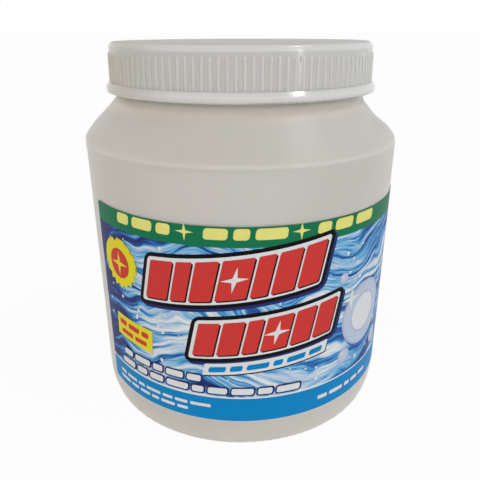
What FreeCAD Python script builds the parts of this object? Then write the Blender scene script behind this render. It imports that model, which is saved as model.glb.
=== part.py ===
import FreeCAD, Part
import math
import os

# A wide-mouth blow-moulded tub with a ribbed screw cap, a wrap label and a fill of
# dishwasher packs. Millimetres, +Z up, origin at the middle of the foot ring's plane.
# The label's front faces -Y.

Vector = FreeCAD.Vector

# Tub body
BODY_RADIUS = 69.0
BODY_WALL = 1.3
HEEL_WIDTH = 3.3
HEEL_HEIGHT = 10.5
HEEL_TIGHT_ROUND = 1.7
SHOULDER_HEIGHT = 122.6
SHOULDER_ANGLE = 49.3
SHOULDER_CORNER = 5.0
FOOT_RING_WIDTH = 5.0
PUSH_UP = 3.0
PUSH_UP_SLOPE = 3.5
BASE_WALL = 1.8

# Neck
NECK_RADIUS = 53.2
NECK_WALL = 1.7
NECK_FILLET = 1.2
LIP_EDGE = 0.4

# Screw thread, shared by the neck and the cap
THREAD_PITCH = 5.08
THREAD_DEPTH = 1.4
THREAD_ROOT_WIDTH = 2.5
THREAD_CREST_WIDTH = 1.0
THREAD_SINK = 0.4
NECK_THREAD_TURNS = 1.1
NECK_THREAD_BELOW_LIP = 2.6
CAP_THREAD_TURNS = 1.3
THREAD_AXIAL_GAP = 0.3
THREAD_RADIAL_GAP = 0.5

# Cap
CAP_ABOVE_SHOULDER = 0.7
CAP_HEIGHT = 19.7
CAP_WALL = 1.1
CAP_TAPER = 0.021
CAP_RIM_ROUND = 2.7
CAP_DECK = 1.6
BEAD_HEIGHT = 4.0
BEAD_FACE_HEIGHT = 2.2
BEAD_STAND = 1.84
BEAD_LOWER_ROUND = 0.8
BEAD_UPPER_ROUND = 1.0
RIB_COUNT = 118
RIB_STAND = 0.35
RIB_WIDTH_SHARE = 0.42
RIB_END_BELOW_TOP = 4.1
RIB_END_RAMP = 0.9
RIB_ROOT_STEP = 0.05

# Liner
LINER_THICKNESS = 1.0
LINER_EDGE_GAP = 0.4

# Label
LABEL_THICKNESS = 0.15
LABEL_GLUE = 0.1
LABEL_ABOVE_HEEL = 3.4
LABEL_BELOW_SHOULDER = 21.7
LABEL_START_ANGLE = -59.5
LABEL_SPAN_ANGLE = 335.0
LABEL_CORNER = 3.0

# Packs inside
PACK_LENGTH = 38.0
PACK_WIDTH = 30.0
PACK_HEIGHT = 16.5
PACK_CORNER = 7.0
PACK_TOP_EDGE = 4.5
PACK_BOTTOM_EDGE = 2.0
PACK_WALL_GAP = 1.0
PACK_SIDE_GAP = 0.6
PACK_LAYERS = 5
PACK_YAW_STEP = 47.0
LAYER_TURN = 23.0

# Places that follow from the sizes above
SHOULDER_RISE = math.tan(math.radians(SHOULDER_ANGLE))
NECK_FOOT_HEIGHT = SHOULDER_HEIGHT + (BODY_RADIUS - NECK_RADIUS) * SHOULDER_RISE
CAP_BASE_HEIGHT = NECK_FOOT_HEIGHT + CAP_ABOVE_SHOULDER
CAP_TOP_HEIGHT = CAP_BASE_HEIGHT + CAP_HEIGHT
LIP_HEIGHT = CAP_TOP_HEIGHT - CAP_DECK - LINER_THICKNESS
CAP_BORE_RADIUS = NECK_RADIUS + THREAD_DEPTH + THREAD_RADIAL_GAP
CAP_TOP_RADIUS = CAP_BORE_RADIUS + CAP_WALL
THREAD_FLANK = (THREAD_ROOT_WIDTH - THREAD_CREST_WIDTH) / 2 / THREAD_DEPTH
FLOOR_HEIGHT = PUSH_UP + BASE_WALL
INNER_RADIUS = BODY_RADIUS - BODY_WALL


def rounded_edges(points):
    """Edges through (radius, height, rounding) points in the XZ plane, corners rounded."""
    edges = []
    start = Vector(points[0][0], 0, points[0][1])
    for index in range(1, len(points)):
        radius, height, rounding = points[index]
        corner = Vector(radius, 0, height)
        if rounding == 0 or index == len(points) - 1:
            edges.append(Part.makeLine(start, corner))
            start = corner
            continue
        before = Vector(points[index - 1][0], 0, points[index - 1][1]) - corner
        after = Vector(points[index + 1][0], 0, points[index + 1][1]) - corner
        before.normalize()
        after.normalize()
        half_angle = before.getAngle(after) / 2
        tangent_length = rounding / math.tan(half_angle)
        arc_start = corner + before * tangent_length
        arc_end = corner + after * tangent_length
        middle = before + after
        middle.normalize()
        arc_middle = corner + middle * (rounding / math.sin(half_angle) - rounding)
        edges.append(Part.makeLine(start, arc_start))
        edges.append(Part.Arc(arc_start, arc_middle, arc_end).toShape())
        start = arc_end
    return edges


def revolved(edges):
    """Solid of revolution about Z of a closed outline in the XZ plane."""
    face = Part.Face(Part.Wire(edges))
    return face.revolve(Vector(0, 0, 0), Vector(0, 0, 1), 360)


def heel_round():
    """Radius of the heel's long arc, which meets the tight one at the foot smoothly."""
    rise = HEEL_HEIGHT - HEEL_TIGHT_ROUND
    run = HEEL_WIDTH - HEEL_TIGHT_ROUND
    return (run * run + rise * rise) / (2 * run) + HEEL_TIGHT_ROUND


def arc_below(middle, size, low_turn, high_turn):
    """Arc under a middle between two turns below the outward direction."""
    places = []
    for turn in (low_turn, (low_turn + high_turn) / 2, high_turn):
        places.append(middle + Vector(math.cos(turn), 0, -math.sin(turn)) * size)
    return Part.Arc(*places).toShape()


def tub_form(side_inset, foot_lift, neck_inset, top_height, heel_tight_round):
    """Solid of the tub's outside, or of its hollow when the insets are the walls."""
    turn = math.radians(90 - SHOULDER_ANGLE)
    radius = BODY_RADIUS - side_inset
    neck_radius = NECK_RADIUS - neck_inset
    corner_height = SHOULDER_HEIGHT - side_inset * math.tan(turn / 2)
    neck_height = corner_height + (radius - neck_radius) * SHOULDER_RISE
    long_round = heel_round()
    long_middle = Vector(radius - long_round, 0, foot_lift + HEEL_HEIGHT)
    if heel_tight_round:
        foot_radius = radius - HEEL_WIDTH
        low_turn = math.atan2(HEEL_HEIGHT - heel_tight_round, long_round - HEEL_WIDTH)
        tight_middle = Vector(foot_radius, 0, foot_lift + heel_tight_round)
        heel = [arc_below(tight_middle, heel_tight_round, math.pi / 2, low_turn)]
    else:
        low_turn = math.asin(HEEL_HEIGHT / long_round)
        foot_radius = long_middle.x + long_round * math.cos(low_turn)
        heel = []
    heel.append(arc_below(long_middle, long_round, low_turn, 0))
    ring_inner = radius - HEEL_WIDTH + side_inset - FOOT_RING_WIDTH
    floor = rounded_edges([
        (0, foot_lift + PUSH_UP, 0),
        (ring_inner - PUSH_UP_SLOPE, foot_lift + PUSH_UP, 0),
        (ring_inner, foot_lift, 0),
        (foot_radius, foot_lift, 0),
    ])
    wall = rounded_edges([
        (radius, foot_lift + HEEL_HEIGHT, 0),
        (radius, corner_height, SHOULDER_CORNER - side_inset),
        (neck_radius, neck_height, NECK_FILLET),
        (neck_radius, top_height, 0),
        (0, top_height, 0),
        (0, foot_lift + PUSH_UP, 0),
    ])
    return revolved(floor + heel + wall)


def thread(root_radius, outward, first_height, turns):
    """Right-handed thread ridge on a round wall, sunk a little into it."""
    direction = 1 if outward else -1
    sunk = root_radius - direction * THREAD_SINK
    crest = root_radius + direction * THREAD_DEPTH
    sunk_half = THREAD_ROOT_WIDTH / 2 + THREAD_FLANK * THREAD_SINK
    crest_half = THREAD_CREST_WIDTH / 2
    profile = Part.makePolygon([
        Vector(sunk, 0, -sunk_half),
        Vector(crest, 0, -crest_half),
        Vector(crest, 0, crest_half),
        Vector(sunk, 0, sunk_half),
        Vector(sunk, 0, -sunk_half),
    ])
    path = Part.makeHelix(THREAD_PITCH, THREAD_PITCH * turns, root_radius)
    ridge = Part.Wire(path.Edges).makePipeShell([profile], True, True)
    ridge.translate(Vector(0, 0, first_height))
    return ridge


def neck_thread_start():
    """Height of the middle of the neck thread where it begins."""
    return LIP_HEIGHT - NECK_THREAD_BELOW_LIP - THREAD_PITCH * NECK_THREAD_TURNS


def cap_thread_start():
    """Height of the cap thread's beginning, one running gap below the neck thread."""
    wall_distance = CAP_BORE_RADIUS - NECK_RADIUS
    half_widths = THREAD_ROOT_WIDTH - THREAD_FLANK * wall_distance
    return neck_thread_start() - half_widths - THREAD_AXIAL_GAP


def make_jar():
    """Hollow tub: body, shoulder and threaded neck blown as one wall."""
    outside = tub_form(0, 0, 0, LIP_HEIGHT, HEEL_TIGHT_ROUND)
    hollow = tub_form(BODY_WALL, BASE_WALL, NECK_WALL, LIP_HEIGHT + 1, 0)
    shell = outside.cut(hollow)
    lip = [edge for edge in shell.Edges
           if abs(edge.BoundBox.ZMin - LIP_HEIGHT) < 1e-3 and edge.BoundBox.ZLength < 1e-3]
    shell = shell.makeChamfer(LIP_EDGE, lip)
    return shell.fuse(thread(NECK_RADIUS, True, neck_thread_start(), NECK_THREAD_TURNS))


def cap_side_radius(height):
    """Outer radius of the smooth skirt at a height; it widens a little downward."""
    return CAP_TOP_RADIUS + CAP_TAPER * (CAP_TOP_HEIGHT - height)


def rib_outline(height, stand):
    """Closed wire around the skirt with one low bump for each rib."""
    root = cap_side_radius(height) + RIB_ROOT_STEP
    pitch = 2 * math.pi / RIB_COUNT
    half_rib = pitch * RIB_WIDTH_SHARE / 2

    def on_circle(radius, angle):
        return Vector(radius * math.cos(angle), radius * math.sin(angle), height)

    edges = []
    for index in range(RIB_COUNT):
        middle = index * pitch
        rib_start = on_circle(root, middle - half_rib)
        rib_end = on_circle(root, middle + half_rib)
        rib_top = on_circle(root + stand, middle)
        next_start = on_circle(root, middle + pitch - half_rib)
        valley = on_circle(root, middle + pitch / 2)
        edges.append(Part.Arc(rib_start, rib_top, rib_end).toShape())
        edges.append(Part.Arc(rib_end, valley, next_start).toShape())
    return Part.Wire(edges)


def joined_at_plane(first, second, height):
    """One solid of two that share a flat plane, where one's face lies inside the other's."""
    def lies_in_plane(face):
        box = face.BoundBox
        return abs(box.ZMin - height) < 1e-6 and abs(box.ZMax - height) < 1e-6

    faces = [face for face in first.Faces + second.Faces if not lies_in_plane(face)]
    shared = [face for face in first.Faces + second.Faces if lies_in_plane(face)]
    shared.sort(key=lambda face: face.Area)
    shell = Part.Shell(faces + shared[1].cut(shared[0]).Faces)
    shell.sewShape()
    return Part.Solid(shell)


def make_screw_cap():
    """Moulded cap: flat deck, ribbed skirt, bead at the open end and inner thread."""
    bead_top = CAP_BASE_HEIGHT + BEAD_HEIGHT
    bead_radius = cap_side_radius(CAP_BASE_HEIGHT) + BEAD_STAND
    bead_top_radius = cap_side_radius(bead_top) + RIB_ROOT_STEP + RIB_STAND * 1.5
    rib_top = CAP_TOP_HEIGHT - RIB_END_BELOW_TOP
    bead = revolved(rounded_edges([
        (0, CAP_BASE_HEIGHT, 0),
        (bead_radius, CAP_BASE_HEIGHT, BEAD_LOWER_ROUND),
        (bead_radius, CAP_BASE_HEIGHT + BEAD_FACE_HEIGHT, BEAD_UPPER_ROUND),
        (bead_top_radius, bead_top, 0),
        (0, bead_top, 0),
        (0, CAP_BASE_HEIGHT, 0),
    ]))
    ribbed_band = Part.makeLoft([
        rib_outline(bead_top, RIB_STAND),
        rib_outline(rib_top - RIB_END_RAMP, RIB_STAND),
        rib_outline(rib_top, RIB_STAND * 0.1),
    ], True, True)
    deck = revolved(rounded_edges([
        (0, rib_top, 0),
        (cap_side_radius(rib_top), rib_top, 0),
        (cap_side_radius(CAP_TOP_HEIGHT), CAP_TOP_HEIGHT, CAP_RIM_ROUND),
        (0, CAP_TOP_HEIGHT, 0),
        (0, rib_top, 0),
    ]))
    outside = joined_at_plane(bead, ribbed_band, bead_top)
    outside = joined_at_plane(outside, deck, rib_top)
    bore_height = CAP_HEIGHT - CAP_DECK
    bore = Part.makeCylinder(CAP_BORE_RADIUS, bore_height, Vector(0, 0, CAP_BASE_HEIGHT))
    bore = bore.cut(thread(CAP_BORE_RADIUS, False, cap_thread_start(), CAP_THREAD_TURNS))
    return joined_at_plane(outside, bore, CAP_BASE_HEIGHT)


def make_cap_liner():
    """Foam disc that lies between the neck's lip and the cap's deck."""
    return Part.makeCylinder(
        CAP_BORE_RADIUS - LINER_EDGE_GAP, LINER_THICKNESS, Vector(0, 0, LIP_HEIGHT))


def make_label():
    """Film label wrapped round the body, with a bare strip where its ends don't meet."""
    inner = BODY_RADIUS + LABEL_GLUE
    outer = inner + LABEL_THICKNESS
    bottom = HEEL_HEIGHT + LABEL_ABOVE_HEEL
    height = SHOULDER_HEIGHT - LABEL_BELOW_SHOULDER - bottom
    axis = Vector(0, 0, 1)
    section = Part.makePolygon([
        Vector(inner, 0, bottom),
        Vector(outer, 0, bottom),
        Vector(outer, 0, bottom + height),
        Vector(inner, 0, bottom + height),
        Vector(inner, 0, bottom),
    ])
    film = Part.Face(section).revolve(Vector(0, 0, 0), axis, LABEL_SPAN_ANGLE)
    for end_angle, side in ((0, 1), (LABEL_SPAN_ANGLE, -1)):
        for corner_height, up in ((bottom, 1), (bottom + height, -1)):
            cutter = corner_cutter(inner - 1, LABEL_THICKNESS + 2, side, up)
            cutter.rotate(Vector(0, 0, 0), axis, end_angle)
            cutter.translate(Vector(0, 0, corner_height))
            film = film.cut(cutter)
    film.rotate(Vector(0, 0, 0), axis, LABEL_START_ANGLE - 90)
    return film


def corner_cutter(start, depth, side, up):
    """Radial block with a round hollow, which leaves a rounded corner on the label."""
    low_y = min(0, side * LABEL_CORNER)
    low_z = min(0, up * LABEL_CORNER)
    block = Part.makeBox(depth, LABEL_CORNER, LABEL_CORNER, Vector(start, low_y, low_z))
    centre = Vector(start, side * LABEL_CORNER, up * LABEL_CORNER)
    return block.cut(Part.makeCylinder(LABEL_CORNER, depth, centre, Vector(1, 0, 0)))


def make_pack():
    """One pillow-shaped pack, lying on its flat underside at the origin."""
    body = Part.makeBox(
        PACK_LENGTH, PACK_WIDTH, PACK_HEIGHT, Vector(-PACK_LENGTH / 2, -PACK_WIDTH / 2, 0))
    upright = [edge for edge in body.Edges if edge.BoundBox.ZLength > PACK_HEIGHT / 2]
    body = body.makeChamfer(PACK_CORNER, upright)
    top = [edge for edge in body.Edges if edge.BoundBox.ZMin > PACK_HEIGHT - 1e-6]
    body = body.makeChamfer(PACK_TOP_EDGE, top)
    bottom = [edge for edge in body.Edges if edge.BoundBox.ZMax < 1e-6]
    return body.makeChamfer(PACK_BOTTOM_EDGE, bottom)


def pack_reach():
    """Largest distance from a pack's middle to one of its cut corners."""
    half_length = PACK_LENGTH / 2
    half_width = PACK_WIDTH / 2
    return max(
        math.hypot(half_length, half_width - PACK_CORNER),
        math.hypot(half_length - PACK_CORNER, half_width))


def place_packs(pack):
    """Layers of one middle pack and a ring round it, each turned its own way."""
    ring_radius = INNER_RADIUS - pack_reach() - PACK_WALL_GAP
    half_spacing = pack_reach() + PACK_SIDE_GAP / 2
    packs_in_ring = int(math.pi / math.asin(half_spacing / ring_radius))
    placed = []
    for layer in range(PACK_LAYERS):
        height = FLOOR_HEIGHT + layer * PACK_HEIGHT
        for index in range(packs_in_ring + 1):
            angle = math.radians(LAYER_TURN * layer + 360 / packs_in_ring * index)
            distance = 0 if index == packs_in_ring else ring_radius
            copy = pack.copy()
            yaw = PACK_YAW_STEP * (index + packs_in_ring * layer)
            copy.rotate(Vector(0, 0, 0), Vector(0, 0, 1), yaw)
            copy.translate(Vector(distance * math.cos(angle), distance * math.sin(angle), height))
            placed.append(copy)
    return placed


def export(name, shape):
    """Write one sub-part as a STEP file named after it."""
    if len(shape.Solids) != 1 or not shape.isValid():
        raise RuntimeError(name + " is not one valid solid")
    shape.Solids[0].exportStep("parts/" + name + ".step")
    print(name, round(shape.Volume, 1), "mm3,", len(shape.Faces), "faces")


os.makedirs("parts", exist_ok=True)
export("jar", make_jar())
export("screw_cap", make_screw_cap())
export("cap_liner", make_cap_liner())
export("label", make_label())
for number, pack_shape in enumerate(place_packs(make_pack()), start=1):
    export("pack_{:02d}".format(number), pack_shape)
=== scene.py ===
import math
import random

import bmesh
import bpy
from mathutils import Matrix, Vector


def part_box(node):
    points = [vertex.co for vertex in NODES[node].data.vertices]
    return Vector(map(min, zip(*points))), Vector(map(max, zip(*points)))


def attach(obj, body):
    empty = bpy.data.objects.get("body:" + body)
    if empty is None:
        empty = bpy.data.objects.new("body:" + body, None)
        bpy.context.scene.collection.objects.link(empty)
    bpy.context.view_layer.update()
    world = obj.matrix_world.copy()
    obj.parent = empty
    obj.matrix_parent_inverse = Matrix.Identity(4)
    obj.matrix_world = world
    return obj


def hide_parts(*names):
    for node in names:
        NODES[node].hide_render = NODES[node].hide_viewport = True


# A wide-mouth tub in natural milky plastic with a ribbed screw cap, a printed wrap label and
# a fill of dishwasher packs. Metres, +Z up, the label's front towards -Y.

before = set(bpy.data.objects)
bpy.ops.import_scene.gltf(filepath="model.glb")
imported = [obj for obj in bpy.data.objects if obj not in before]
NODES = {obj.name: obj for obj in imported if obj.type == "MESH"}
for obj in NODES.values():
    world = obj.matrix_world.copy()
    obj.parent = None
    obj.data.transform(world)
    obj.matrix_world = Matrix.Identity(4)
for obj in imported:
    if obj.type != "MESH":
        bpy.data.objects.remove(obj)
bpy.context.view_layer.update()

MM = 0.001

# Sizes read from the frame
LABEL_LOW, LABEL_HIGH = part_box("label")
LABEL_RADIUS = LABEL_HIGH.x
LABEL_BASE = LABEL_LOW.z
LABEL_TOP = LABEL_HIGH.z
CAP_LOW, CAP_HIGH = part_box("screw_cap")
JAR_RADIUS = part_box("jar")[1].x
PACK_NAMES = sorted(name for name in NODES if name.startswith("pack_"))

# Camera, from the photograph's perspective
CAMERA_DISTANCE = 237.58 * MM
CAMERA_HEIGHT = 165.25 * MM
CAMERA_PITCH = math.radians(22.328)
CAMERA_ROLL = math.radians(-0.134)
FRAME_PIXELS = 480
FOCAL_PIXELS = 509.49
AXIS_PIXEL = 241.018
SENSOR_WIDTH = 36.0
NEAREST_SEEN = 10 * MM

# Light: a far lamp's direction, width and power, a tall narrow window and the surroundings
LAMP_FROM = Vector((0.52, -0.14, 0.84))
LAMP_WIDTH = math.radians(8.0)
LAMP_POWER = 0.34
WINDOW_PLACE = Vector((2.25, -1.99, 1.35))
WINDOW_SIZE = (0.25, 2.6)
WINDOW_POWER = 13.0
SKY_LEFT = (0.80, 0.765, 0.72)
SKY_RIGHT = (0.845, 0.865, 0.875)
SKY_FRONT = (-0.34, -0.94, 0.0)
SKY_FRONT_GAIN = 2.15
SKY_BACK_GAIN = 0.92
SKY_TOP_GAIN = 0.50
SEEN_WHITE = (1.0, 1.0, 1.0)
FLOOR_HALF_WIDTH = 40.0
FLOOR_COLOUR = (0.90, 0.90, 0.89)
FLOOR_GLOW_SHARE = 0.94

# Shoulder as the photograph shows it: sunk at the right, a little full at the left
NECK_FOOT = 141.0 * MM
SHOULDER_FOOT = 122.6 * MM
SHOULDER_OUT = Vector((0.758, 0.652))
DENT_DEPTH = 1.7 * MM
DENT_INNER = 53.4 * MM
DENT_OUTER = 55.5 * MM
DENT_ANGLE = math.radians(78)
DENT_SPREAD = math.radians(40)
SWELL_HEIGHT = 0.9 * MM
SWELL_ANGLE = math.radians(-80)
SWELL_SPREAD = math.radians(45)
JAR_TURN_STEP = 5
JAR_RISE_STEP = 1.5 * MM
JAR_SHARP_ANGLE = math.radians(25)

# Tub plastic: cloudy, with painted light making it paler above the label, a painted highlight on
# the ridge, and warm and pale painted light at the neck's foot
JAR_DARK = (0.535, 0.505, 0.456)
JAR_LIGHT = (0.575, 0.549, 0.505)
JAR_SIDE_LIGHT = (0.625, 0.590, 0.545)
JAR_NECK_WARM_LIGHT = (0.750, 0.640, 0.550)
JAR_NECK_PALE_LIGHT = (0.900, 0.810, 0.690)
JAR_RIDGE_HIGHLIGHT = (0.720, 0.700, 0.660)
JAR_ROUGHNESS = 0.40
JAR_SCATTER = 5 * MM
JAR_CLOUD_SCALE = 24.0
JAR_GRAIN_SCALE = 1100.0
JAR_SWELL_SCALE = 42.0
JAR_SIDE_MIDDLE = -8 * MM
RIDGE_HEIGHT = 122.1 * MM
RIDGE_HIGHLIGHT_SHARE = 0.25
RIDGE_BUMP = 0.35

# Cap plastic: cloudy, a painted highlight on rim and bead, painted shade on the dull top, warmer
# painted shade at the left, one dark scratch
CAP_DARK = (0.515, 0.508, 0.490)
CAP_LIGHT = (0.555, 0.548, 0.535)
CAP_PAINTED_HIGHLIGHT = (0.600, 0.600, 0.600)
CAP_TOP_SHADE = (0.475, 0.455, 0.448)
CAP_LEFT_SHADE = (0.455, 0.435, 0.375)
CAP_ROUGHNESS = 0.15
CAP_TOP_DULLNESS = 0.4
CAP_SCATTER = 2.5 * MM
CAP_CLOUD_SCALE = 30.0
CAP_GRAIN_SCALE = 1300.0
CAP_SWELL_SCALE = 70.0
CAP_DECK_RADIUS = 53.4 * MM
GATE_RADIUS = 1.2 * MM
GATE_RING_RADIUS = 5 * MM
CAP_SCRATCH = (20.7 * MM, -52.6 * MM, 156.3 * MM)
CAP_SCRATCH_COLOUR = (0.10, 0.085, 0.07)
SCRATCH_SQUASH = 0.2

# Liner and packs
FOAM_DARK = (0.70, 0.70, 0.68)
FOAM_LIGHT = (0.80, 0.80, 0.78)
FOAM_CELL_SCALE = 1500.0
POWDER_DARK = (0.66, 0.68, 0.72)
POWDER_LIGHT = (0.82, 0.83, 0.84)
BLUE_LAYER_DARK = (0.05, 0.20, 0.50)
BLUE_LAYER_LIGHT = (0.22, 0.44, 0.72)
BLUE_LAYER_FROM = 0.62
POWDER_SCALE = 1400.0
CREASE_SCALE = 260.0

# Print
PRINT_ROUGHNESS = 0.45
PRINT_GLOSS = 0.08
INK_MOTTLE = 0.88
INK_MOTTLE_SCALE = 420.0
GREEN = (0.006, 0.150, 0.066)
CYAN = (0.001, 0.200, 0.480)
NAVY = (0.018, 0.026, 0.135)
BLUE = (0.022, 0.140, 0.420)
SKY = (0.110, 0.370, 0.620)
PALE = (0.450, 0.530, 0.650)
WHITE = (0.660, 0.680, 0.700)
RED = (0.560, 0.040, 0.034)
BLACK = (0.003, 0.002, 0.004)
YELLOW = (0.700, 0.640, 0.016)
LEMON = (0.720, 0.690, 0.200)
LAVENDER = (0.420, 0.430, 0.610)
GREY = (0.260, 0.270, 0.310)

# Streaming water: (number round the label, height in mm) of its waves, and its streaks
WATER_WAVE = (3.0, 10.0)
WATER_RIPPLE = (8.0, 1.8)
WATER_DRIFT = 30.0
WATER_SCALE = 24.0
WATER_RISE_SCALE = 0.36
STREAK_CONTRAST = 3.3
BROAD_CONTRAST = 1.6
WATER_STOPS = [(0.0, NAVY), (0.24, BLUE), (0.44, SKY), (0.66, PALE), (0.90, WHITE)]

# Label layout, in millimetres: u to the right of the front's middle, v up from the lower edge
GREEN_BAND_LOW = 79.0
CYAN_BAND_HIGH = 11.8
BAND_LINE = 0.7
EDGE_MARGIN = 0.5
LABEL_GAP_MIDDLE = math.radians(-72.0)
LABEL_START = -71.86
LABEL_END = 332.7
LAYER_LIFT = 0.03
CUT_STEP = 2.5
ROW_OUTLINE = 3.2
ROW_KEYLINE = 1.5
ROW_GAP = 1.4
ROW_SHADOW = 1.2
BLOCK_SHADOW = 0.55
SPARKLE_REACH = 5.4
BURST_PLACE = (-55.5, 63.5)
DROP_COUNT = 150
DROP_SEED = 11
HEAD_LEAN = 0.22
HEAD_RISE = 0.10
HEAD_BOW = 0.0004
HEADLINE = {"lean": HEAD_LEAN, "rise": HEAD_RISE, "bow": HEAD_BOW}
UPRIGHT = {"lean": 0.0, "rise": 0.0, "bow": 0.0}
STRAIGHT = {"lean": 0.12, "rise": 0.0, "bow": 0.0}


def link(tree, source, target):
    tree.links.new(source, target)


def set_input(tree, socket, value):
    """Join a socket to another one, or give it a number, a colour or a vector."""
    if isinstance(value, bpy.types.NodeSocket):
        link(tree, value, socket)
    elif socket.type == "RGBA":
        socket.default_value = (*value, 1.0)
    else:
        socket.default_value = value


def add_node(tree, kind, inputs=None, **settings):
    """A shader node with its properties and inputs set."""
    made = tree.nodes.new(kind)
    for key, value in settings.items():
        setattr(made, key, value)
    for key, value in (inputs or {}).items():
        set_input(tree, made.inputs[key], value)
    return made


def calc(tree, operation, first, second=0.0, clamp=False):
    """Output of a maths node on two sockets or numbers."""
    return add_node(tree, "ShaderNodeMath", {0: first, 1: second}, operation=operation,
                    use_clamp=clamp).outputs[0]


def mix_colour(tree, factor, low, high):
    """Colour between two colours or sockets."""
    made = add_node(tree, "ShaderNodeMix", {0: factor, 6: low, 7: high}, data_type="RGBA")
    return made.outputs[2]


def smooth_step(tree, value, low, high, at_low=0.0, at_high=1.0):
    """Soft change of a value from one level to another."""
    return add_node(tree, "ShaderNodeMapRange", {
        "Value": value, "From Min": low, "From Max": high, "To Min": at_low, "To Max": at_high,
    }, interpolation_type="SMOOTHSTEP").outputs[0]


def ramp(tree, factor, stops):
    """Colour ramp through (place, colour) stops."""
    made = add_node(tree, "ShaderNodeValToRGB", {0: factor})
    elements = made.color_ramp.elements
    while len(elements) < len(stops):
        elements.new(0.5)
    for element, (place, colour) in zip(elements, stops):
        element.position = place
        element.color = (*colour, 1.0)
    return made.outputs[0]


def object_place(tree):
    """Object coordinates, which are the frame's metres on every piece here."""
    return add_node(tree, "ShaderNodeTexCoord").outputs["Object"]


def axis_values(tree, place):
    """X, Y and Z of a place."""
    return add_node(tree, "ShaderNodeSeparateXYZ", {0: place}).outputs


def distance_to(tree, place, point):
    """Distance from a place to a fixed point."""
    return add_node(tree, "ShaderNodeVectorMath", {0: place, 1: point},
                    operation="DISTANCE").outputs["Value"]


def noise(tree, place, scale, detail=2.0, roughness=0.5):
    """Noise value at a place."""
    return add_node(tree, "ShaderNodeTexNoise", {
        "Vector": place, "Scale": scale, "Detail": detail, "Roughness": roughness,
    }).outputs["Fac"]


def new_material(name, roughness, inputs=None):
    """Principled material, its tree and its shader."""
    made = bpy.data.materials.new(name)
    made.use_nodes = True
    tree = made.node_tree
    shader = tree.nodes["Principled BSDF"]
    shader.inputs["Roughness"].default_value = roughness
    for key, value in (inputs or {}).items():
        shader.inputs[key].default_value = value
    return made, tree, shader


def bump(tree, shader, height, strength, distance):
    """Bump from a height value onto a shader."""
    made = add_node(tree, "ShaderNodeBump", {
        "Height": height, "Strength": strength, "Distance": distance})
    link(tree, made.outputs[0], shader.inputs["Normal"])


def milky(name, roughness, scatter):
    """Milky plastic that light scatters in."""
    return new_material(name, roughness, {
        "Subsurface Weight": 1.0, "Subsurface Scale": scatter,
        "Subsurface Radius": (1.0, 0.92, 0.80), "IOR": 1.5})


def jar_plastic():
    """Natural blown polyethylene: clouds, painted light on the side band, the ridge and the neck's
    foot, grain, a ridge and a parting line.
    """
    made, tree, shader = milky("natural_hdpe", JAR_ROUGHNESS, JAR_SCATTER)
    place = object_place(tree)
    axes = axis_values(tree, place)
    cloud = noise(tree, place, JAR_CLOUD_SCALE, 3.0)
    colour = mix_colour(tree, cloud, JAR_DARK, JAR_LIGHT)
    # Painted light: the side band between label and ridge is painted paler towards its front
    # middle, standing in for frontal light.
    side = smooth_step(tree, axes["Z"], LABEL_TOP - 3 * MM, LABEL_TOP + 4 * MM)
    side = calc(tree, "MULTIPLY", side,
                smooth_step(tree, axes["Z"], RIDGE_HEIGHT - 4 * MM, RIDGE_HEIGHT, 1.0, 0.0))
    off_middle = calc(tree, "ABSOLUTE", calc(tree, "SUBTRACT", axes["X"], JAR_SIDE_MIDDLE))
    side = calc(tree, "MULTIPLY", side, smooth_step(tree, off_middle, 15 * MM, 50 * MM, 1.0, 0.0))
    colour = mix_colour(tree, side, colour, JAR_SIDE_LIGHT)
    # Painted light: the neck's foot is painted warmer and paler, lifting the shadow under the cap
    # as light passing through the plastic would.
    below_neck = smooth_step(tree, axes["Z"], NECK_FOOT + 0.3 * MM, NECK_FOOT + 3 * MM, 1.0, 0.0)
    warm_painted_tone = smooth_step(tree, axes["Z"], NECK_FOOT - 7 * MM, NECK_FOOT - 2 * MM)
    warm_painted_tone = calc(tree, "MULTIPLY", warm_painted_tone, below_neck)
    colour = mix_colour(tree, warm_painted_tone, colour, JAR_NECK_WARM_LIGHT)
    pale = smooth_step(tree, axes["Z"], NECK_FOOT - 2.6 * MM, NECK_FOOT - 0.6 * MM)
    pale = calc(tree, "MULTIPLY", pale, below_neck)
    colour = mix_colour(tree, pale, colour, JAR_NECK_PALE_LIGHT)
    from_ridge = calc(tree, "ABSOLUTE", calc(tree, "SUBTRACT", axes["Z"], RIDGE_HEIGHT))
    ridge = smooth_step(tree, from_ridge, 0.2 * MM, 1.2 * MM, 1.0, 0.0)
    # Painted highlight: the ridge band is painted paler where the corner catches light; the same
    # band also raises a real bump below.
    colour = mix_colour(tree, calc(tree, "MULTIPLY", ridge, RIDGE_HIGHLIGHT_SHARE), colour, JAR_RIDGE_HIGHLIGHT)
    link(tree, colour, shader.inputs["Base Color"])

    grain = calc(tree, "MULTIPLY", noise(tree, place, JAR_GRAIN_SCALE, 2.0), 0.05)
    swell = noise(tree, place, JAR_SWELL_SCALE, 2.0)
    parting = smooth_step(tree, calc(tree, "ABSOLUTE", axes["Y"]), 0.05 * MM, 0.35 * MM, 0.12, 0.0)
    height = calc(tree, "ADD", calc(tree, "ADD", swell, grain), parting)
    height = calc(tree, "ADD", height, calc(tree, "MULTIPLY", ridge, RIDGE_BUMP))
    bump(tree, shader, height, 0.30, 0.7 * MM)
    return made


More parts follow.
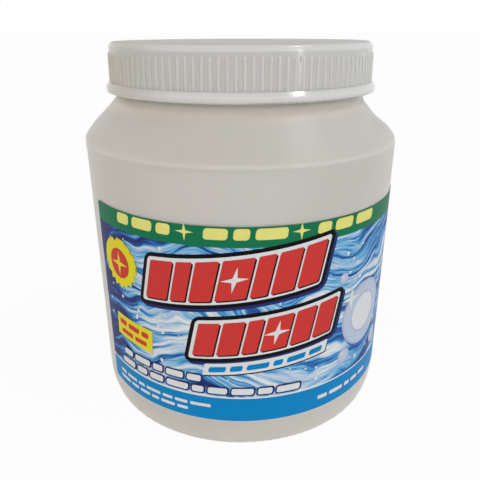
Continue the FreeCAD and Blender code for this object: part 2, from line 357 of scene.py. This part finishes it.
def cap_plastic():
    """Moulded cap: painted highlight on rim and bead, a dull top in painted shade with a gate mark,
    warmer painted shade at the left, one scratch.
    """
    made, tree, shader = milky("cap_plastic", CAP_ROUGHNESS, CAP_SCATTER)
    place = object_place(tree)
    axes = axis_values(tree, place)
    flat = add_node(tree, "ShaderNodeCombineXYZ", {"X": axes["X"], "Y": axes["Y"]}).outputs[0]
    from_axis = distance_to(tree, flat, (0, 0, 0))
    deck = calc(tree, "GREATER_THAN", axes["Z"], CAP_HIGH.z - 0.05 * MM)
    within = smooth_step(tree, from_axis, CAP_DECK_RADIUS, CAP_DECK_RADIUS + 0.5 * MM, 1.0, 0.0)
    deck = calc(tree, "MULTIPLY", deck, within)
    cloud = noise(tree, place, CAP_CLOUD_SCALE, 3.0)
    colour = mix_colour(tree, cloud, CAP_DARK, CAP_LIGHT)
    # Painted highlight: rim and bead are painted paler, a reflection of bright surroundings, less
    # so towards the left.
    rim = smooth_step(tree, axes["Z"], CAP_HIGH.z - 3.0 * MM, CAP_HIGH.z - 2.3 * MM)
    bead = smooth_step(tree, axes["Z"], CAP_LOW.z + 3.3 * MM, CAP_LOW.z + 4.0 * MM, 1.0, 0.0)
    bead = calc(tree, "MULTIPLY", bead,
                smooth_step(tree, axes["Z"], CAP_LOW.z + 0.3 * MM, CAP_LOW.z + 1.4 * MM))
    pale = calc(tree, "MULTIPLY", calc(tree, "ADD", rim, bead, clamp=True),
                smooth_step(tree, axes["X"], -52 * MM, -15 * MM, 0.2, 1.0))
    colour = mix_colour(tree, pale, colour, CAP_PAINTED_HIGHLIGHT)
    # Painted shade: the top is painted darker, as less light falls on it from above; the same mask
    # also dulls the top's roughness.
    upper = smooth_step(tree, axes["Z"], CAP_HIGH.z - 0.8 * MM, CAP_HIGH.z - 0.3 * MM)
    colour = mix_colour(tree, upper, colour, CAP_TOP_SHADE)
    # Painted shade: the cap's left is painted darker and warmer, where less light falls.
    warm_painted_tone = smooth_step(tree, axes["X"], -54 * MM, -24 * MM, 0.9, 0.0)
    colour = mix_colour(tree, warm_painted_tone, colour, CAP_LEFT_SHADE)
    squashed = add_node(tree, "ShaderNodeVectorMath", {0: place, 1: (1.0, 1.0, SCRATCH_SQUASH)},
                        operation="MULTIPLY").outputs[0]
    scratch_x, scratch_y, scratch_z = CAP_SCRATCH
    scratch_gap = distance_to(tree, squashed, (scratch_x, scratch_y, scratch_z * SCRATCH_SQUASH))
    scratch = smooth_step(tree, scratch_gap, 0.15 * MM, 0.35 * MM, 0.85, 0.0)
    colour = mix_colour(tree, scratch, colour, CAP_SCRATCH_COLOUR)
    link(tree, colour, shader.inputs["Base Color"])
    dulled = calc(tree, "ADD", calc(tree, "MULTIPLY", upper, CAP_TOP_DULLNESS), CAP_ROUGHNESS)
    link(tree, dulled, shader.inputs["Roughness"])

    grain = calc(tree, "MULTIPLY", noise(tree, place, CAP_GRAIN_SCALE, 2.0), 0.06)
    swell = calc(tree, "MULTIPLY", noise(tree, place, CAP_SWELL_SCALE, 2.0), 0.35)
    gate = smooth_step(tree, from_axis, GATE_RADIUS, GATE_RADIUS + 0.6 * MM, 0.7, 0.0)
    from_ring = calc(tree, "ABSOLUTE", calc(tree, "SUBTRACT", from_axis, GATE_RING_RADIUS))
    ring = smooth_step(tree, from_ring, 0.1 * MM, 0.5 * MM, 0.25, 0.0)
    mark = calc(tree, "MULTIPLY", calc(tree, "ADD", gate, ring), deck)
    bump(tree, shader, calc(tree, "ADD", calc(tree, "ADD", grain, swell), mark), 0.25, 0.5 * MM)
    return made


def foam():
    """Fine-celled white foam."""
    made, tree, shader = new_material("liner_foam", 0.8)
    cells = noise(tree, object_place(tree), FOAM_CELL_SCALE, 2.0)
    link(tree, mix_colour(tree, cells, FOAM_DARK, FOAM_LIGHT), shader.inputs["Base Color"])
    bump(tree, shader, cells, 0.5, 0.1 * MM)
    return made


def ink(name, colour):
    """One printed colour under the label's varnish, with a faint mottle."""
    made, tree, shader = new_material(name, PRINT_ROUGHNESS, {"Specular IOR Level": PRINT_GLOSS})
    mottle = noise(tree, object_place(tree), INK_MOTTLE_SCALE, 3.0)
    darker = tuple(channel * INK_MOTTLE for channel in colour)
    link(tree, mix_colour(tree, mottle, darker, colour), shader.inputs["Base Color"])
    return made


def label_angle(tree, place):
    """Angle round the label from the front's middle, with its jump in the label's gap."""
    middle = LABEL_GAP_MIDDLE + math.pi
    side = add_node(tree, "ShaderNodeVectorMath", {
        0: place, 1: (math.cos(middle), math.sin(middle), 0)}, operation="DOT_PRODUCT")
    ahead = add_node(tree, "ShaderNodeVectorMath", {
        0: place, 1: (math.sin(middle), -math.cos(middle), 0)}, operation="DOT_PRODUCT")
    turn = calc(tree, "ARCTAN2", side.outputs["Value"], ahead.outputs["Value"])
    return calc(tree, "ADD", turn, middle)


def streaming_water(tree, place, axes, angle, height):
    """Colour of wavy streaks, darker towards the label's left end and at its right side."""
    def waves(count, rise):
        swing = calc(tree, "SINE", calc(tree, "MULTIPLY", angle, count))
        return calc(tree, "MULTIPLY", swing, rise)

    wave = waves(*WATER_WAVE)
    ripple = waves(*WATER_RIPPLE)
    drift = calc(tree, "MULTIPLY", noise(tree, place, 28.0, 2.0), WATER_DRIFT)
    lifted = calc(tree, "ADD", calc(tree, "ADD", height, wave), calc(tree, "ADD", ripple, drift))
    flow = add_node(tree, "ShaderNodeCombineXYZ", {
        "X": calc(tree, "MULTIPLY", axes["X"], WATER_SCALE),
        "Y": calc(tree, "MULTIPLY", axes["Y"], WATER_SCALE),
        "Z": calc(tree, "MULTIPLY", lifted, WATER_RISE_SCALE),
    }).outputs[0]
    streak = calc(tree, "SUBTRACT", noise(tree, flow, 1.0, 6.0, 0.68), 0.5)
    broad = calc(tree, "SUBTRACT", noise(tree, flow, 0.32, 2.0), 0.5)
    left_end = smooth_step(tree, angle, -1.15, -0.45, -0.86, 0.04)
    right_side = smooth_step(tree, angle, 0.45, 1.10, 0.0, -0.20)
    streak = calc(tree, "MULTIPLY", streak, STREAK_CONTRAST)
    broad = calc(tree, "MULTIPLY", broad, BROAD_CONTRAST)
    tone = calc(tree, "ADD", streak, broad)
    tone = calc(tree, "ADD", tone, calc(tree, "ADD", left_end, right_side))
    tone = calc(tree, "ADD", tone, 0.5, clamp=True)
    return ramp(tree, tone, WATER_STOPS)


def label_film():
    """Label ground: a green band, a cyan band and a field of streaming water between them."""
    made, tree, shader = new_material(
        "printed_film", PRINT_ROUGHNESS, {"Specular IOR Level": PRINT_GLOSS})
    place = object_place(tree)
    axes = axis_values(tree, place)
    angle = label_angle(tree, place)
    height = calc(tree, "MULTIPLY", calc(tree, "SUBTRACT", axes["Z"], LABEL_BASE), 1 / MM)
    along = calc(tree, "MULTIPLY", angle, LABEL_RADIUS / MM)

    colour = streaming_water(tree, place, axes, angle, height)
    for operation, value, limit, print_colour in (
            ("LESS_THAN", height, CYAN_BAND_HIGH + BAND_LINE, WHITE),
            ("LESS_THAN", height, CYAN_BAND_HIGH, CYAN),
            ("GREATER_THAN", height, GREEN_BAND_LOW, GREEN),
            ("LESS_THAN", height, EDGE_MARGIN / 2, WHITE),
            ("LESS_THAN", along, LABEL_START + EDGE_MARGIN, WHITE),
            ("GREATER_THAN", along, LABEL_END - EDGE_MARGIN, WHITE)):
        colour = mix_colour(tree, calc(tree, operation, value, limit), colour, print_colour)
    link(tree, colour, shader.inputs["Base Color"])
    bump(tree, shader, noise(tree, place, 45.0, 2.0), 0.15, 0.3 * MM)
    return made


def pack_film():
    """Glossy film over white powder with a blue layer above it."""
    made, tree, shader = new_material("pack_film", 0.22, {
        "Coat Weight": 0.5, "Coat Roughness": 0.12})
    coords = add_node(tree, "ShaderNodeTexCoord")
    up = axis_values(tree, coords.outputs["Generated"])
    speck = noise(tree, coords.outputs["Object"], POWDER_SCALE, 2.0, 0.7)
    edge = calc(tree, "ADD", up["Z"], calc(tree, "MULTIPLY", speck, 0.08))
    powder = mix_colour(tree, speck, POWDER_DARK, POWDER_LIGHT)
    blue = mix_colour(tree, speck, BLUE_LAYER_DARK, BLUE_LAYER_LIGHT)
    above = calc(tree, "GREATER_THAN", edge, BLUE_LAYER_FROM)
    link(tree, mix_colour(tree, above, powder, blue), shader.inputs["Base Color"])
    crease = noise(tree, coords.outputs["Object"], CREASE_SCALE, 3.0)
    bump(tree, shader, crease, 0.35, 0.4 * MM)
    return made


def dress(node_name, material):
    """Give a node's every slot one material."""
    slots = NODES[node_name].data.materials
    if not slots:
        slots.append(material)
    for index in range(len(slots)):
        slots[index] = material


def add_piece(name, shape, material, body):
    """Object from a bmesh, riding on a body."""
    mesh = bpy.data.meshes.new(name)
    shape.to_mesh(mesh)
    shape.free()
    mesh.materials.append(material)
    piece = bpy.data.objects.new(name, mesh)
    bpy.context.scene.collection.objects.link(piece)
    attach(piece, body)
    return piece


def cut_by_plane(shape, point, normal):
    """Add a line of corners where a plane crosses a bmesh."""
    whole = shape.verts[:] + shape.edges[:] + shape.faces[:]
    bmesh.ops.bisect_plane(shape, geom=whole, dist=0.001 * MM, plane_co=point, plane_no=normal)


def eased(value, low, high):
    """Smooth step from 0 at low to 1 at high."""
    share = min(1.0, max(0.0, (value - low) / (high - low)))
    return share * share * (3 - 2 * share)


def shoulder_change(angle, radius, height):
    """How far the shoulder stands out of its true form at a place; sunk is negative."""
    def near(middle, spread):
        return eased(spread - abs(angle - middle), 0, spread)

    dent = eased(height, SHOULDER_FOOT + 3 * MM, SHOULDER_FOOT + 9 * MM)
    dent *= eased(radius, DENT_INNER, DENT_OUTER) * near(DENT_ANGLE, DENT_SPREAD)
    swell = eased(height, SHOULDER_FOOT - 6 * MM, SHOULDER_FOOT + 4 * MM)
    swell *= 1 - eased(height, SHOULDER_FOOT + 5 * MM, SHOULDER_FOOT + 14 * MM)
    swell *= near(SWELL_ANGLE, SWELL_SPREAD)
    return SWELL_HEIGHT * swell - DENT_DEPTH * dent


def worn_jar(material):
    """The tub's own form with the shoulder's dent and swelling worked into it."""
    shape = bmesh.new()
    shape.from_mesh(NODES["jar"].data)
    bmesh.ops.remove_doubles(shape, verts=shape.verts[:], dist=0.001 * MM)
    for turn in range(0, 180, JAR_TURN_STEP):
        angle = math.radians(turn)
        cut_by_plane(shape, (0, 0, 0), (math.sin(angle), math.cos(angle), 0))
    rows = int((NECK_FOOT - LABEL_TOP) / JAR_RISE_STEP)
    for row in range(rows + 1):
        cut_by_plane(shape, (0, 0, NECK_FOOT - row * JAR_RISE_STEP), (0, 0, 1))
    for corner in shape.verts:
        radius = math.hypot(corner.co.x, corner.co.y)
        if corner.co.z < LABEL_TOP or radius < JAR_RADIUS / 2:
            continue
        angle = math.atan2(corner.co.x, -corner.co.y)
        change = shoulder_change(angle, radius, corner.co.z)
        corner.co.x += corner.co.x / radius * change * SHOULDER_OUT.x
        corner.co.y += corner.co.y / radius * change * SHOULDER_OUT.x
        corner.co.z += change * SHOULDER_OUT.y
    for face in shape.faces:
        face.smooth = True
    for edge in shape.edges:
        edge.smooth = edge.calc_face_angle(math.pi) < JAR_SHARP_ANGLE
    piece = add_piece("worn_jar", shape, material, "tub")
    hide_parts("jar")


def box_outline(left, low, right, high, rounding):
    """Outline of a box with round corners."""
    corners = [
        (left + rounding, low + rounding, 180),
        (right - rounding, low + rounding, 270),
        (right - rounding, high - rounding, 0),
        (left + rounding, high - rounding, 90),
    ]
    outline = []
    for u, v, start in corners:
        for step in range(5):
            turn = math.radians(start + 22.5 * step)
            outline.append((u + rounding * math.cos(turn), v + rounding * math.sin(turn)))
    return outline


def disc(u, v, radius, squeeze=1.0, steps=40):
    """Outline of a circle or an upright ellipse."""
    return [(u + radius * squeeze * math.cos(2 * math.pi * step / steps),
             v + radius * math.sin(2 * math.pi * step / steps)) for step in range(steps)]


def star(u, v, outer, inner, points):
    """Outline of a star with a point at its top."""
    outline = []
    for step in range(points * 2):
        radius = outer if step % 2 == 0 else inner
        angle = math.radians(90 + 180 / points * step)
        outline.append((u + radius * math.cos(angle), v + radius * math.sin(angle)))
    return outline


def sparkle(u, v, reach):
    """Outline of a four-pointed sparkle with hollow sides."""
    return star(u, v, reach, reach * 0.24, 4)


def divided(outline, longest=3.0):
    """Outline with points added on its long runs, so that it can bend."""
    points = []
    for index, (s, t) in enumerate(outline):
        after_s, after_t = outline[(index + 1) % len(outline)]
        parts = max(1, int(math.hypot(after_s - s, after_t - t) / longest))
        for part in range(parts):
            share = part / parts
            points.append((s + (after_s - s) * share, t + (after_t - t) * share))
    return points


def slanted(outline, u, v, lean=HEAD_LEAN, rise=HEAD_RISE, bow=HEAD_BOW):
    """Outline moved to its place, leaning to the right and rising along its length."""
    return [(u + s + lean * t, v + t + rise * s + bow * s * s) for s, t in divided(outline)]


def print_layer(name, outlines, material, layer):
    """Flat outlines laid on the label's curve as one thin printed layer."""
    shape = bmesh.new()
    for outline in outlines:
        shape.faces.new([shape.verts.new((u, v, 0.0)) for u, v in outline])
    bmesh.ops.triangulate(shape, faces=shape.faces[:])
    left = min(u for outline in outlines for u, v in outline)
    right = max(u for outline in outlines for u, v in outline)
    for step in range(math.floor(left / CUT_STEP), math.ceil(right / CUT_STEP) + 1):
        cut_by_plane(shape, (step * CUT_STEP, 0, 0), (1, 0, 0))
    radius = LABEL_RADIUS + LAYER_LIFT * layer * MM
    for corner in shape.verts:
        u, v, flat = corner.co
        angle = u * MM / LABEL_RADIUS
        corner.co = (radius * math.sin(angle), -radius * math.cos(angle), LABEL_BASE + v * MM)
    for face in shape.faces:
        face.normal_update()
        middle = face.calc_center_median()
        if face.normal.x * middle.x + face.normal.y * middle.y < 0:
            face.normal_flip()
        face.smooth = True
    return add_piece(name, shape, material, "tub")


def word_bars(u, v, widths, gap, height, slant):
    """Plain bars in a row, one for each word that a line of print would have."""
    outlines = []
    start = 0.0
    for width in widths:
        bar = box_outline(start, 0, start + width, height, min(height, width) * 0.3)
        outlines.append(slanted(bar, u, v, **slant))
        start += width + gap
    return outlines


def grown(length, height, margin):
    """Outline of a box grown by a margin, with round corners."""
    return box_outline(-margin, -margin, length + margin, height + margin, max(margin, 0.4))


def print_headline(inks):
    """Two slanted rows of red blocks with a white keyline, a black outline and a shadow."""
    rows = [
        {"u": -40.0, "v": 53.5, "height": 17.0, "widths": [10, 6.5, 9, 12, 6.5, 9, 9]},
        {"u": -20.0, "v": 31.5, "height": 15.0, "widths": [8.5, 8.5, 6, 10.5, 8.5, 8.5]},
    ]
    outlines = {"shadow": [], "black": [], "white": [], "block_shadow": [], "red": [], "spark": []}
    for row in rows:
        widths = row["widths"]
        length = sum(widths) + ROW_GAP * (len(widths) - 1)
        u, v, height = row["u"], row["v"], row["height"]
        edge = grown(length, height, ROW_OUTLINE)
        outlines["shadow"].append(slanted(edge, u + ROW_SHADOW, v - ROW_SHADOW))
        outlines["black"].append(slanted(edge, u, v))
        outlines["white"].append(slanted(grown(length, height, ROW_KEYLINE), u, v))
        start = 0.0
        for width in widths:
            block = box_outline(start, 0, start + width, height, 0.7)
            shade = slanted(block, u + BLOCK_SHADOW, v - BLOCK_SHADOW)
            outlines["block_shadow"].append(shade)
            outlines["red"].append(slanted(block, u, v))
            if width > 10:
                at = start + width / 2
                outlines["spark"].append(slanted(sparkle(at, height / 2, SPARKLE_REACH), u, v))
            start += width + ROW_GAP
    print_layer("label_row_shadow", outlines["shadow"], inks["navy"], 2)
    print_layer("label_row_outline", outlines["black"], inks["black"], 3)
    print_layer("label_row_keyline", outlines["white"], inks["white"], 4)
    print_layer("label_block_shadow", outlines["block_shadow"], inks["black"], 5)
    print_layer("label_blocks", outlines["red"], inks["red"], 6)
    print_layer("label_block_sparkles", outlines["spark"], inks["white"], 7)


def print_badges(inks):
    """Yellow burst and yellow tag at the left."""
    tag_slant = {"lean": 0.08, "rise": -0.06, "bow": 0.0}
    burst = star(*BURST_PLACE, 11.5, 9.6, 18)
    tag = slanted(box_outline(0, 0, 23, 11, 0.4), -62.0, 28.0, **tag_slant)
    print_layer("label_badges", [burst, tag], inks["yellow"], 5)
    marks = [disc(*BURST_PLACE, 6.6)]
    marks += word_bars(-59.5, 34.0, [5.0, 7.0, 4.0], 1.4, 2.6, tag_slant)
    marks += word_bars(-58.5, 29.8, [8.0, 7.0], 1.4, 2.2, tag_slant)
    print_layer("label_badge_marks", marks, inks["red"], 6)
    middle = sparkle(*BURST_PLACE, SPARKLE_REACH)
    print_layer("label_badge_sparkle", [middle], inks["yellow"], 7)


def print_plate(inks):
    """Shining plate with bubbles at the right."""
    plate_u, plate_v = 60.0, 39.0
    bubbles = [(47.5, 22.0, 3.6), (74.0, 20.5, 4.4), (78.0, 56.0, 3.2), (44.0, 60.0, 2.4)]
    print_layer("label_plate_shade", [disc(plate_u + 1.2, plate_v - 1.4, 15.6)], inks["blue"], 1)
    rims = [disc(plate_u, plate_v, 15.2)] + [disc(u, v, r) for u, v, r in bubbles]
    print_layer("label_plate_rim", rims, inks["lavender"], 2)
    faces = [disc(plate_u, plate_v, 14.2)]
    faces += [disc(u - r * 0.1, v + r * 0.1, r * 0.8) for u, v, r in bubbles]
    print_layer("label_plate_face", faces, inks["pale"], 3)
    print_layer("label_plate_well", [disc(plate_u, plate_v, 9.4)], inks["lavender"], 4)
    middle = disc(plate_u - 0.3, plate_v + 0.3, 8.7)
    print_layer("label_plate_middle", [middle], inks["white"], 5)
    glints = [disc(u - r * 0.35, v + r * 0.38, r * 0.26, 0.8, 20) for u, v, r in bubbles]
    glints.append(sparkle(plate_u - 10.5, plate_v + 10.0, 6.0))
    glints.append(sparkle(plate_u + 11.0, plate_v - 8.0, 3.4))
    print_layer("label_glints", glints, inks["white"], 6)


def print_lines(inks):
    """Strips and bars where the lines of print go."""
    strip = box_outline(0, 0, 52, 5.6, 0.5)
    print_layer("label_strip_shadow", [slanted(strip, -15.6, 22.0)], inks["black"], 2)
    print_layer("label_strip", [slanted(strip, -16.0, 22.6)], inks["white"], 3)
    words = word_bars(-13.5, 24.2, [7, 5, 9, 4, 8, 6], 1.7, 2.6, HEADLINE)
    print_layer("label_strip_bars", words, inks["cyan"], 4)

    backs = []
    bars = []
    for u, v, widths in (
            (-58.0, 19.2, [6, 9, 5, 8, 6]),
            (-60.0, 14.0, [9, 6, 7, 10, 5, 8, 9, 6, 10])):
        wide = [width + 1.4 for width in widths]
        backs += word_bars(u - 0.7, v - 0.7, wide, 0.4, 4.4, STRAIGHT)
        bars += word_bars(u, v, widths, 1.8, 3.0, STRAIGHT)
    print_layer("label_line_backs", backs, inks["navy"], 8)
    print_layer("label_line_bars", bars, inks["white"], 9)

    small = word_bars(-64.0, 6.6, [5, 7, 4, 8, 5, 6, 9], 1.2, 1.5, UPRIGHT)
    small += word_bars(-64.0, 3.4, [8, 5, 6, 4, 7, 5], 1.2, 1.5, UPRIGHT)
    small += word_bars(34.0, 4.8, [5, 8, 3.5, 5, 6], 1.4, 1.9, UPRIGHT)
    print_layer("label_cyan_bars", small, inks["white"], 2)

    band = word_bars(-54.0, 82.0, [7, 10, 6], 2.0, 4.4, STRAIGHT)
    band += word_bars(-14.0, 82.0, [9, 6, 12], 2.0, 4.4, STRAIGHT)
    band += word_bars(29.0, 82.0, [6, 9, 11], 2.0, 4.4, STRAIGHT)
    band += [sparkle(-21.0, 84.3, 3.6), sparkle(22.5, 84.3, 3.6)]
    print_layer("label_green_bars", band, inks["lemon"], 2)


def print_drops(inks):
    """Small drops flung across the water."""
    chance = random.Random(DROP_SEED)
    drops = []
    for index in range(DROP_COUNT):
        u = chance.uniform(LABEL_START + 4, 98)
        v = chance.uniform(CYAN_BAND_HIGH + 3, GREEN_BAND_LOW - 3)
        drops.append(disc(u, v, chance.uniform(0.25, 0.95), chance.uniform(0.7, 1.0), 12))
    print_layer("label_drops", drops, inks["white"], 1)


def print_back(inks):
    """Sides and back of the label: pale panels with plain rules."""
    spans = [(106.0, 196.0), (210.0, 318.0)]
    panels = [box_outline(left, 16.5, right, 74.0, 4.0) for left, right in spans]
    print_layer("label_panels", panels, inks["white"], 2)
    heads = [box_outline(left + 4, 65.0, right - 4, 71.0, 1.5) for left, right in spans]
    print_layer("label_panel_heads", heads, inks["cyan"], 3)
    titles = []
    rules = []
    for left, right in spans:
        titles += word_bars(left + 8, 66.8, [10, 7, 12], 2.0, 2.4, UPRIGHT)
        for line in range(9):
            end = right - 6 - (14.0 if line % 3 == 2 else 3.0 * (line % 2))
            rules.append(box_outline(left + 6, 20.5 + 4.7 * line, end, 21.7 + 4.7 * line, 0.5))
    print_layer("label_panel_titles", titles, inks["white"], 4)
    print_layer("label_panel_rules", rules, inks["grey"], 3)


def pillow(node_name, material):
    """Soft pack in the place of its plain solid: the solid's form smoothed to a pillow."""
    solid = NODES[node_name]
    low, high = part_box(node_name)
    middle = (low + high) / 2
    shape = bmesh.new()
    shape.from_mesh(solid.data)
    bmesh.ops.remove_doubles(shape, verts=shape.verts[:], dist=0.01 * MM)
    bmesh.ops.dissolve_limit(shape, angle_limit=math.radians(2), verts=shape.verts[:],
                             edges=shape.edges[:])
    piece = add_piece("soft_" + node_name, shape, material, "tub")
    smooth = piece.modifiers.new("smooth", "SUBSURF")
    smooth.levels = 2
    bpy.context.view_layer.update()
    shown = piece.evaluated_get(bpy.context.evaluated_depsgraph_get())
    mesh = bpy.data.meshes.new_from_object(shown)
    piece.modifiers.clear()
    piece.data = mesh

    def reach(vertices):
        return max(math.hypot(v.co.x - middle.x, v.co.y - middle.y) for v in vertices)

    top = max(vertex.co.z for vertex in mesh.vertices)
    bottom = min(vertex.co.z for vertex in mesh.vertices)
    wide = reach(solid.data.vertices) / reach(mesh.vertices)
    tall = (high.z - low.z) / (top - bottom)
    for vertex in mesh.vertices:
        vertex.co.x = middle.x + (vertex.co.x - middle.x) * wide
        vertex.co.y = middle.y + (vertex.co.y - middle.y) * wide
        vertex.co.z = low.z + (vertex.co.z - bottom) * tall
    for polygon in mesh.polygons:
        polygon.use_smooth = True
    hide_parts(node_name)


def set_camera():
    """Camera at the photograph's place, height and angle."""
    lens = bpy.data.cameras.new("camera")
    lens.sensor_width = SENSOR_WIDTH
    lens.lens = FOCAL_PIXELS / FRAME_PIXELS * SENSOR_WIDTH
    lens.shift_x = (FRAME_PIXELS / 2 - AXIS_PIXEL) / FRAME_PIXELS
    lens.clip_start = NEAREST_SEEN
    camera = bpy.data.objects.new("camera", lens)
    tilt = Matrix.Rotation(math.pi / 2 - CAMERA_PITCH, 4, "X")
    roll = Matrix.Rotation(CAMERA_ROLL, 4, "Z")
    camera.matrix_world = Matrix.Translation((0, -CAMERA_DISTANCE, CAMERA_HEIGHT)) @ tilt @ roll
    bpy.context.scene.collection.objects.link(camera)
    bpy.context.scene.camera = camera


def seen_white(tree):
    """One for rays from the camera, from gloss and through clear stuff, else nought."""
    path = add_node(tree, "ShaderNodeLightPath").outputs
    seen = calc(tree, "MAXIMUM", path["Is Camera Ray"], path["Is Glossy Ray"])
    return calc(tree, "MAXIMUM", seen, path["Is Transmission Ray"])


def add_lamp(lamp, place, from_where):
    """Lamp at a place, shining from one direction and out of the camera's sight."""
    holder = bpy.data.objects.new(lamp.name, lamp)
    holder.location = place
    holder.rotation_euler = from_where.to_track_quat("Z", "Y").to_euler()
    holder.visible_camera = False
    bpy.context.scene.collection.objects.link(holder)


def set_light():
    """Pale surroundings, warmer at the left and brighter in front, and lamps at the right."""
    world = bpy.data.worlds.new("world")
    bpy.context.scene.world = world
    world.use_nodes = True
    tree = world.node_tree
    heading = add_node(tree, "ShaderNodeTexCoord").outputs["Generated"]
    toward = axis_values(tree, heading)
    side = smooth_step(tree, toward["X"], -0.9, 0.9)
    ambient = mix_colour(tree, side, SKY_LEFT, SKY_RIGHT)
    seen = seen_white(tree)
    colour = mix_colour(tree, seen, ambient, SEEN_WHITE)
    link(tree, colour, tree.nodes["Background"].inputs["Color"])
    ahead = add_node(tree, "ShaderNodeVectorMath", {0: heading, 1: SKY_FRONT},
                     operation="DOT_PRODUCT").outputs["Value"]
    across = smooth_step(tree, ahead, -0.3, 1.0, SKY_BACK_GAIN, SKY_FRONT_GAIN)
    upward = smooth_step(tree, toward["Z"], 0.0, 0.9, 1.0, SKY_TOP_GAIN)
    gain = calc(tree, "MULTIPLY", across, upward)
    unseen = calc(tree, "SUBTRACT", 1.0, seen)
    gain = calc(tree, "ADD", 1.0, calc(tree, "MULTIPLY", unseen, calc(tree, "SUBTRACT", gain, 1.0)))
    link(tree, gain, tree.nodes["Background"].inputs["Strength"])

    lamp = bpy.data.lights.new("high_lamp", "SUN")
    lamp.energy = LAMP_POWER
    lamp.angle = LAMP_WIDTH
    add_lamp(lamp, LAMP_FROM, LAMP_FROM)
    window = bpy.data.lights.new("window", "AREA")
    window.energy = WINDOW_POWER
    window.shape = "RECTANGLE"
    window.size, window.size_y = WINDOW_SIZE
    add_lamp(window, WINDOW_PLACE, WINDOW_PLACE * Vector((1, 1, 0)))


def add_floor():
    """Pale floor that keeps a soft shadow."""
    shape = bmesh.new()
    bmesh.ops.create_grid(shape, x_segments=1, y_segments=1, size=FLOOR_HALF_WIDTH)
    mesh = bpy.data.meshes.new("floor")
    shape.to_mesh(mesh)
    shape.free()
    floor = bpy.data.objects.new("floor", mesh)
    bpy.context.scene.collection.objects.link(floor)
    made, tree, shader = new_material("floor_paint", 0.9, {"Specular IOR Level": 0.0})
    shader.inputs["Base Color"].default_value = (*FLOOR_COLOUR, 1.0)
    glow = add_node(tree, "ShaderNodeEmission", {"Color": SEEN_WHITE, "Strength": 1.0})
    seen = calc(tree, "MULTIPLY", seen_white(tree), FLOOR_GLOW_SHARE)
    mixed = add_node(tree, "ShaderNodeMixShader", {
        0: seen, 1: shader.outputs[0], 2: glow.outputs[0]})
    link(tree, mixed.outputs[0], tree.nodes["Material Output"].inputs["Surface"])
    mesh.materials.append(made)


def main():
    bpy.context.scene.view_settings.view_transform = "Standard"
    set_camera()
    set_light()
    add_floor()
    worn_jar(jar_plastic())
    dress("screw_cap", cap_plastic())
    dress("cap_liner", foam())
    dress("label", label_film())
    colours = {
        "black": BLACK, "white": WHITE, "red": RED, "yellow": YELLOW, "lemon": LEMON,
        "lavender": LAVENDER, "pale": PALE, "grey": GREY, "navy": NAVY, "blue": BLUE,
        "cyan": CYAN,
    }
    inks = {name: ink("ink_" + name, colour) for name, colour in colours.items()}
    print_drops(inks)
    print_headline(inks)
    print_badges(inks)
    print_plate(inks)
    print_lines(inks)
    print_back(inks)
    film = pack_film()
    for name in PACK_NAMES:
        pillow(name, film)


main()
